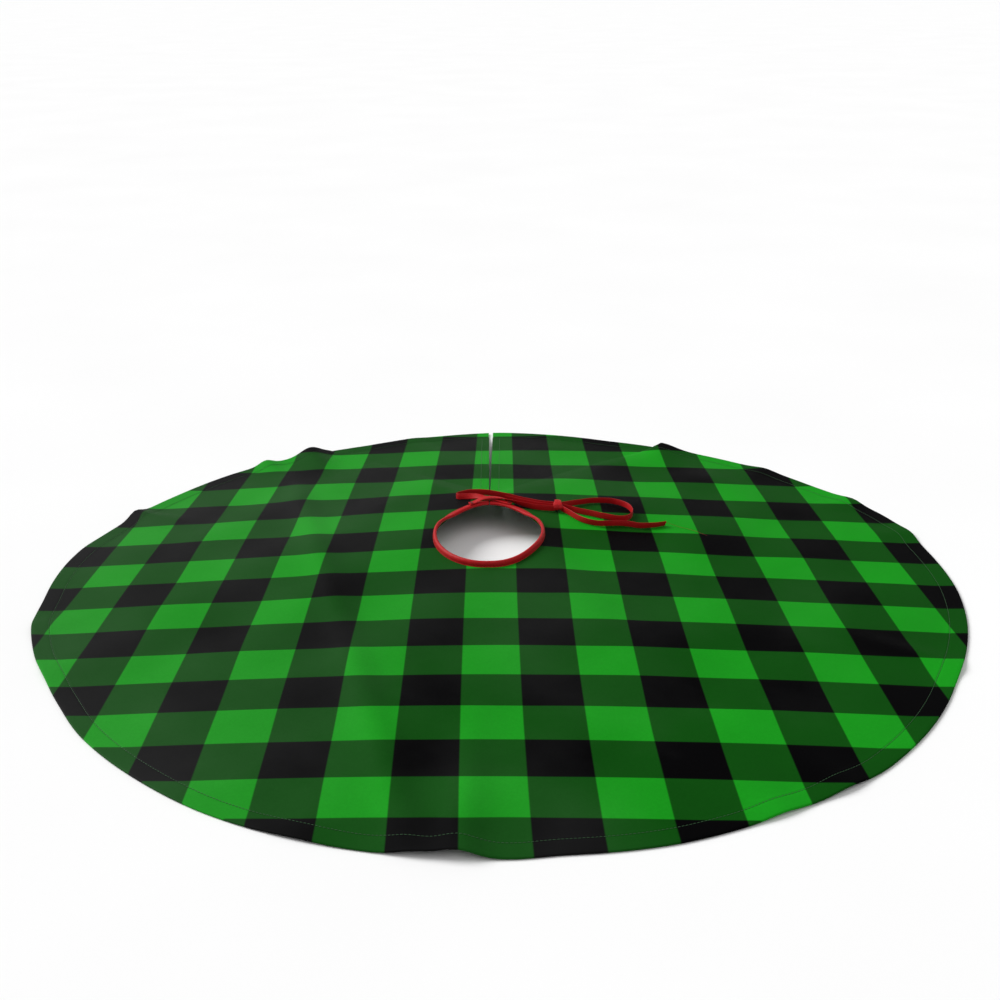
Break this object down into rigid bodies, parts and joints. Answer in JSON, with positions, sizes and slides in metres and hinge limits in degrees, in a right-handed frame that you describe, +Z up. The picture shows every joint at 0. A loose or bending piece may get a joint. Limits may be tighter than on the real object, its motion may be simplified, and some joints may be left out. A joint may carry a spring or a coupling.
{
  "type": "tree skirt",
  "caption": "Round cloth tree skirt in green and black check, lying as a low cone, with a bound neck hole, a back slit whose flaps fold open, turned hems and red tape ties.",
  "frame": {"origin": "centre of the round outer edge, on the floor", "axes": "+Z up, +Y towards the back, where the slit is; the bow lies towards +X"},
  "size_m": [0.9143, 0.9143, 0.0388],
  "materials": {
    "printed_cloth": "smooth printed polyester, faint sheen",
    "red_tape": "folded bias tape, satin",
    "green_thread": "polyester thread",
    "red_thread": "polyester thread"
  },
  "bodies": {
    "skirt": {"skirt_panel": "printed_cloth", "outer_hem": "printed_cloth", "outer_hem_stitching": "green_thread", "left_neck_slit_hem": "printed_cloth", "left_neck_slit_stitching": "green_thread", "right_neck_slit_hem": "printed_cloth", "right_neck_slit_stitching": "green_thread", "neck_binding": "red_tape", "neck_binding_stitching": "red_thread", "left_tie": "red_tape", "right_tie": "red_tape", "left_bartack": "red_thread", "right_bartack": "red_thread", "tie_knot": "red_tape"},
    "left_flap": {"left_flap_panel": "printed_cloth", "left_flap_hem": "printed_cloth", "left_flap_hem_stitching": "green_thread", "left_slit_hem": "printed_cloth", "left_slit_stitching": "green_thread"},
    "right_flap": {"right_flap_panel": "printed_cloth", "right_flap_hem": "printed_cloth", "right_flap_hem_stitching": "green_thread", "right_slit_hem": "printed_cloth", "right_slit_stitching": "green_thread"},
    "loop": {"bow_loop": "red_tape"},
    "tail": {"long_tail": "red_tape"},
    "tuck": {"short_tail": "red_tape"}
  },
  "joints": [
    {"name": "left_flap_fold", "type": "hinge", "parent": "skirt", "child": "left_flap", "pos_m": [-0.013, 0.165, 0.026], "axis": [0.6928, -0.7174, 0.0725], "range_deg": [0, 170]},
    {"name": "right_flap_fold", "type": "hinge", "parent": "skirt", "child": "right_flap", "pos_m": [-0.013, 0.165, 0.026], "axis": [0.693, 0.7176, -0.0696], "range_deg": [0, 170]},
    {"name": "bow_loop_lift", "type": "hinge", "parent": "skirt", "child": "loop", "pos_m": [0.0674, 0.11, 0.0347], "axis": [0, -1, 0], "range_deg": [0, 80]},
    {"name": "long_tail_lift", "type": "hinge", "parent": "skirt", "child": "tail", "pos_m": [0.0674, 0.1008, 0.0347], "axis": [0, -1, 0], "range_deg": [0, 110]},
    {"name": "short_tail_lift", "type": "hinge", "parent": "skirt", "child": "tuck", "pos_m": [0.0566, 0.1068, 0.0351], "axis": [0, 1, 0], "range_deg": [0, 80]}
  ]
}
